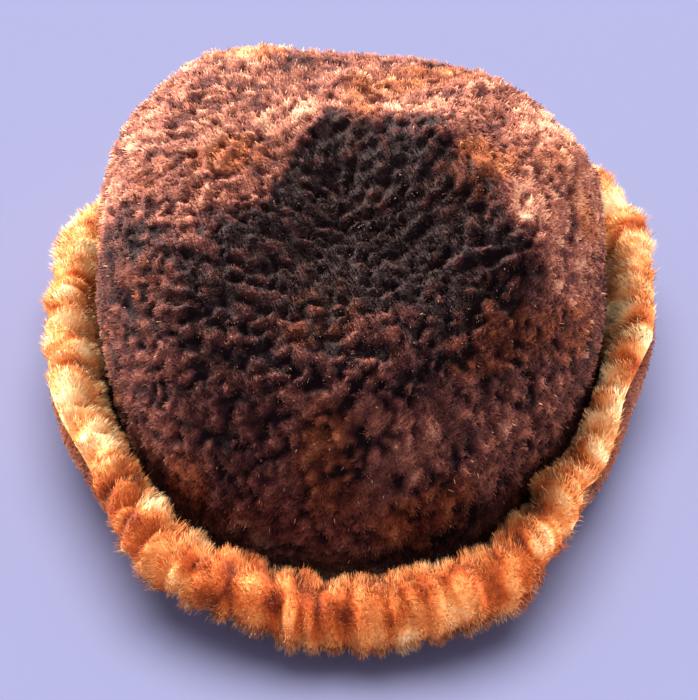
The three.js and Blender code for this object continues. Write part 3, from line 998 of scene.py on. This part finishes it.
def brim_nap():
    """Short strands over the brim's skin, where the golden fur doesn't cover it."""
    lower = strands_on_brim(BRIM_STRANDS, *LOWER_BAND)
    upper = strands_on_brim(UPPER_STRANDS, *UPPER_BAND)
    laid = [np.concatenate(pair) for pair in zip(lower, upper)]
    root = laid[1]
    kept = root[:, 2] > 3.6
    kept &= np.hypot(root[:, 0] / (CROWN_WIDTH * 0.475), root[:, 1] / (CROWN_LENGTH * 0.475)) > 1
    place, root, normal, onward, sideways = (v[kept] for v in laid)
    count = len(root)
    above = place < 0
    turn = 0.6 * waves(root, *BRIM_SWIRL) + draw.normal(0, 0.4, count)
    flow = onward * np.cos(turn)[:, None] + sideways * np.sin(turn)[:, None]
    lean = np.radians(draw.normal(np.where(above, 20, 55), 12))[:, None]
    way = unit(normal * np.cos(lean) + flow * np.sin(lean) + draw.normal(0, 0.12, root.shape))
    length = BRIM_HAIR * (draw.uniform(0.6, 1.2, count) * np.where(above, 1.7, 1.0))[:, None]
    root = root - normal
    tip = root + way * length
    tip[:, 2] = np.maximum(tip[:, 2], 0.4)
    lines = np.stack([root, mix(root, tip, 0.5) + normal * 0.2, tip], 1)
    side = unit(np.cross(way, normal) + 0.5 * draw.normal(size=root.shape))
    face = np.cross(side, way)
    flip = np.sign(dot(face, normal))[:, None]
    tone = 0.1 + 0.1 * waves(root, *BRIM_SPECKLE) + 0.08 * waves(root, *BRIM_TONE)
    # Painted shade on the strands of the brim's upper face
    tone += 0.07 * draw.normal(size=count) - 0.3 * above
    tones = np.stack([tone, patches(root, BRIM_WARMTH)], -1)
    normals = unit(normal * 0.6 + face * flip * 0.4)
    laid = (lines, side * flip, BRIM_HAIR_WIDTHS, normals, tones)
    strand_piece("brim_nap", *laid, brown_nap, "brown_fur", ["brim"])


brim_skin()
brim_nap()


# Golden fur

def lay_tufts(total):
    """Tufts in rows round the brim: how far round, across, size, and two uneven values of their own."""
    tufts = []
    for row_across, pitch in TUFT_ROWS:
        count = int(total / pitch)
        at = (np.arange(count) + draw.uniform(-0.5, 0.5, count) + draw.uniform()) / count * total
        middles = row_across + draw.normal(0, 0.14, count)
        sizes = draw.uniform(0.6, 1.8, count)
        tufts.append(np.stack([at % total, middles, sizes, *draw.normal(0, 1, (2, count))], -1))
    return np.concatenate(tufts)


def nearest_tufts(tufts, travelled, across, cover):
    """Which tuft each point of the pile belongs to, and its distance as a share of the tuft's size."""
    total = travelled[-1]
    gap = np.abs(travelled[:-1, None] - tufts[None, :, 0])
    gap = np.minimum(gap, total - gap)
    shape = (GOLD_ROWS, GOLD_COLUMNS)
    nearest, distance = np.zeros(shape, int), np.zeros(shape)
    for k in range(GOLD_ROWS):
        aside = (across[k] - tufts[None, :, 1]) * (FUR_REACH * cover[:, None] + FUR_WRAP)
        size = np.hypot(gap, aside) / tufts[None, :, 2]
        nearest[k] = size.argmin(1)
        distance[k] = size.min(1)
    return nearest, distance


def middles_of(tufts, travelled, points):
    """Where the middle of each tuft lies on the pile."""
    column = np.interp(tufts[:, 0], travelled, np.arange(GOLD_COLUMNS + 1))
    return sample(points, np.clip(tufts[:, 1], 0, 1) * (GOLD_ROWS - 1), column)


def round_brim(values, column):
    """Values of the brim's columns, read between them."""
    return np.interp(column, np.arange(BRIM_COLUMNS + 1), np.append(values, values[0]))


def golden_grid():
    """The golden pile as a grid across and round the brim, its upper surface laid in tufts."""
    across = np.linspace(0, 1, GOLD_ROWS)
    column = np.arange(GOLD_COLUMNS) / GOLD_COLUMNS * BRIM_COLUMNS
    cover = round_brim(brim["cover"], column)
    fall = round_brim(brim["fall"], column)
    place = mix(-FUR_REACH * cover[None, :], FUR_WRAP * fall[None, :], across[:, None])
    columns = np.broadcast_to(column, place.shape)
    skin = {key: on_brim(place, columns, key) for key in ("points", "normals", "onward", "sideways")}
    pile = np.array(GOLD_PILE)
    lean = np.interp(across, pile[:, 0], pile[:, 2])[:, None]
    lean = np.radians(np.where(lean > 0, lean * fall[None, :], lean))[..., None]
    way = unit(skin["normals"] * np.cos(lean) + skin["onward"] * np.sin(lean))
    height = np.interp(across, pile[:, 0], pile[:, 1])[:, None]

    edge = on_brim(np.zeros(GOLD_COLUMNS), column, "points")
    steps = np.linalg.norm(np.roll(edge, -1, 0) - edge, axis=-1)
    travelled = np.concatenate([[0], np.cumsum(steps)])
    tufts = lay_tufts(travelled[-1])
    nearest, distance = nearest_tufts(tufts, travelled, across, cover)
    crest = 1 - smoothstep(distance, 0.5, TUFT_REACH)
    raised = height * (0.8 + 0.2 * crest) + (crest - 0.6)
    raised = raised + waves(skin["points"], *PILE_BUMPS_LONG) + 0.6 * waves(skin["points"], *PILE_BUMPS_SHORT)
    points = skin["points"] + way * np.maximum(raised, 0.6)[..., None]
    points = outside_crown(points, GROOVE)
    points[..., 2] = np.maximum(points[..., 2], 1.5)
    return {
        "points": points,
        "under": outside_crown(skin["points"] + skin["normals"] * 0.2, GROOVE),
        "normals": grid_normals(points),
        "way": way,
        "sideways": skin["sideways"],
        "crest": crest,
        "across": np.broadcast_to(across[:, None], place.shape),
        "tuft": tufts[nearest],
        "middles": middles_of(tufts, travelled, points),
        "nearest": nearest,
    }


def golden_tone(crest, tuft, points):
    """Tone of the golden fur: painted light at the hat's sides, brighter on the tufts, and in random patches
    that are strengthened at the sides as painted highlights.
    """
    # Painted light: the hat's sides are lighter than the front, which lies in the crown's shadow
    side = smoothstep(np.abs(points[..., 0]), 40, 115)
    uneven = 0.03 * tuft[..., 4] + 0.12 * waves(points, *GOLD_TONE_LONG)
    uneven = uneven + 0.17 * waves(points, *GOLD_TONE_MIDDLE) + 0.06 * waves(points, *GOLD_TONE_SHORT)
    # Random paler patches, strengthened at the sides as painted highlights
    bright = smoothstep(waves(points, *GOLD_BRIGHT), 0.45, 0.95) * mix(0.12, 0.3, side)
    return 0.06 + 0.24 * side + 0.16 * crest + uneven + bright


def golden_painted_shade(across, points):
    """Painted shade on the golden fur: how far it takes the browner ramp, along its inner edge next to the
    crown and most at the front, where the crown's shadow falls.
    """
    front = smoothstep(-points[..., 1], 30, 105)
    return np.clip((1 - smoothstep(across, 0.0, 0.3)) * mix(0.3, 0.85, front), 0, 1)


def golden_pile():
    """The golden pile as a closed ring."""
    under = np.linspace(GOLD_ROWS - 1, 0, GOLD_UNDER_ROWS).astype(int)
    points = np.concatenate([gold["points"], gold["under"][under]])
    count = len(points)
    share = np.arange(GOLD_COLUMNS) / GOLD_COLUMNS
    uv = np.stack([np.tile(share, count), np.repeat(np.arange(count) / count, GOLD_COLUMNS)], -1)
    upper = golden_tone(gold["crest"], gold["tuft"], gold["points"]) - 0.06
    # The warm attribute of the golden pile carries its painted shade
    warm = golden_painted_shade(gold["across"], gold["points"])
    values = {
        "tip": np.concatenate([gold["crest"] * 0.6, 0 * gold["crest"][under]]).ravel(),
        "tone": np.concatenate([upper, upper[under] * 0]).ravel(),
        "warm": np.concatenate([warm, warm[under]]).ravel(),
    }
    faces = [ring_faces(count, GOLD_COLUMNS)]
    points = points.reshape(-1, 3)
    mesh_piece("golden_pile", points, faces, golden_skin, ["brim_fur"], values, uv)


def golden_strands():
    """Strands over the golden pile, each drawn to the middle of its tuft."""
    row, column = scatter(gold["points"], GOLD_STRANDS)
    root = sample(gold["points"], row, column)
    count = len(root)
    surface = unit(sample(gold["normals"], row, column))
    lie = unit(sample(gold["way"], row, column))
    sideways = unit(sample(gold["sideways"], row, column))
    crest = sample(gold["crest"], row, column)
    across = sample(gold["across"], row, column)
    i, j = np.round(row).astype(int), np.round(column).astype(int) % GOLD_COLUMNS
    tuft = gold["tuft"][i, j]
    middle = gold["middles"][gold["nearest"][i, j]]
    swing = 0.22 * tuft[:, 3] + 0.25 * waves(root, *GOLD_SWING) + draw.normal(0, 0.25, count)
    lift = 0.3 + 0.25 * waves(root, *GOLD_LIFT)
    loose = 0.22 * draw.normal(size=root.shape)
    way = unit(lie + lift[:, None] * surface + sideways * swing[:, None] + loose)
    ends = 1 + 0.25 * smoothstep(across, 0.8, 1.0) + 0.15 * (1 - smoothstep(across, 0.0, 0.2))
    length = GOLD_HAIR * draw.uniform(0.65, 1.15, count) * ends * mix(0.75, 1.1, crest)
    tip = root + way * length[:, None]
    gathered = middle + lie * (GOLD_HAIR * 1.1)
    pull = np.clip(draw.normal(0.12, 0.1, count), 0, 0.4)[:, None]
    tip = mix(tip, gathered, pull)
    root = root - lie * 1.2
    bend = mix(root, tip, 0.5) + surface * (0.1 * length * draw.uniform(0.3, 1.5, count))[:, None]
    lines = np.stack([root, bend, tip], 1)
    lines[:, 1:] = outside_crown(lines[:, 1:], GROOVE * 0.4)
    lines[..., 2] = np.maximum(lines[..., 2], 0.8)
    way = unit(lines[:, 2] - lines[:, 0])
    side, face = flat_sides(way, surface, 0.6)
    normals = unit(0.85 * surface + 0.15 * way + 0.12 * face + np.array(GLOW))
    tone = golden_tone(crest, tuft, root) + 0.04 * draw.normal(size=count)
    # The warm attribute of the golden strands carries their painted shade, with a little random spread
    warm = np.clip(golden_painted_shade(across, root) + 0.12 * draw.normal(size=count), 0, 1)
    tones = np.stack([tone, warm], -1)
    for name, chosen in (("golden_fur_inner", across < 0.5), ("golden_fur_outer", across >= 0.5)):
        laid = (lines[chosen], side[chosen], GOLD_HAIR_WIDTHS, normals[chosen], tones[chosen])
        strand_piece(name, *laid, golden_fur, "golden_fur", ["brim_fur"])


gold = golden_grid()
golden_pile()
golden_strands()


# Floor, light and camera

def floor():
    mesh = bpy.data.meshes.new("floor")
    half = FLOOR_HALF
    corners = [(-half, -half, 0), (half, -half, 0), (half, half, 0), (-half, half, 0)]
    mesh.from_pydata(corners, [], [(0, 1, 2, 3)])
    material, _, shader = nodes_of("floor")
    shader.inputs["Base Color"].default_value = FLOOR_COLOUR
    shader.inputs["Roughness"].default_value = FLOOR_ROUGHNESS
    mesh.materials.append(material)
    obj = add_object("floor", mesh)
    return obj


def area_light(name, place, size, power, colour, lit):
    """A round soft light that looks at the hat and lights only the objects of a list."""
    light = bpy.data.lights.new(name, "AREA")
    light.shape = "DISK"
    light.size = size
    light.energy = power
    light.color = colour
    obj = add_object(name, light)
    obj.location = place
    obj.rotation_euler = (Vector(HAT_MIDDLE) - Vector(place)).to_track_quat("-Z", "Y").to_euler()
    collection = bpy.data.collections.new(name)
    for one in lit:
        collection.objects.link(one)
    obj.light_linking.receiver_collection = collection


floor_piece = floor()
pieces = [obj for obj in bpy.context.scene.objects if obj.type == "MESH" and obj is not floor_piece]
brim_pieces = [obj for obj in pieces if not obj.name.startswith("crown")]
crown_pieces = [obj for obj in pieces if obj.name.startswith("crown")]

# Name, place, size in metres, power in watts, colour, and what it lights
LIGHTS = [
    ("key", KEY_PLACE, 0.6, 560, (1.0, 0.92, 0.83), crown_pieces),
    ("brim key", KEY_PLACE, 0.6, 350, (1.0, 0.94, 0.86), brim_pieces),
    ("left", (-2.022, 0.43, 0.812), 0.7, 112, (1.0, 0.9, 0.86), pieces),
    ("right", (1.979, 0.493, 0.884), 0.7, 92, (1.0, 0.9, 0.86), pieces),
    ("fill", (0.4, -1.3, 1.2), 1.2, 9, (0.9, 0.86, 1.0), pieces),
    ("brim", (0.5, -1.2, 1.2), 1.2, 15, (1.0, 0.9, 0.78), brim_pieces),
    ("floor", (0, 0.3, 3.2), 3.0, 96, (1, 1, 1), [floor_piece]),
]
for row in LIGHTS:
    area_light(*row)

world = bpy.data.worlds.new("world")
world.use_nodes = True
background = world.node_tree.nodes["Background"]
background.inputs["Color"].default_value = WORLD_COLOUR
background.inputs["Strength"].default_value = WORLD_STRENGTH
bpy.context.scene.world = world
bpy.context.scene.view_settings.view_transform = "Standard"

camera = bpy.data.cameras.new("camera")
camera.sensor_fit = "HORIZONTAL"
camera.sensor_width = SENSOR_WIDTH
camera.lens = SENSOR_WIDTH * PHOTO_FOCAL / PHOTO_WIDTH
camera_object = add_object("camera", camera)
pitch = math.radians(CAMERA_PITCH)
backwards = Vector((0, -math.cos(pitch), math.sin(pitch)))
camera_object.location = CAMERA_TARGET + CAMERA_DISTANCE * backwards
camera_object.rotation_euler = (math.pi / 2 - pitch, 0, 0)
bpy.context.scene.camera = camera_object
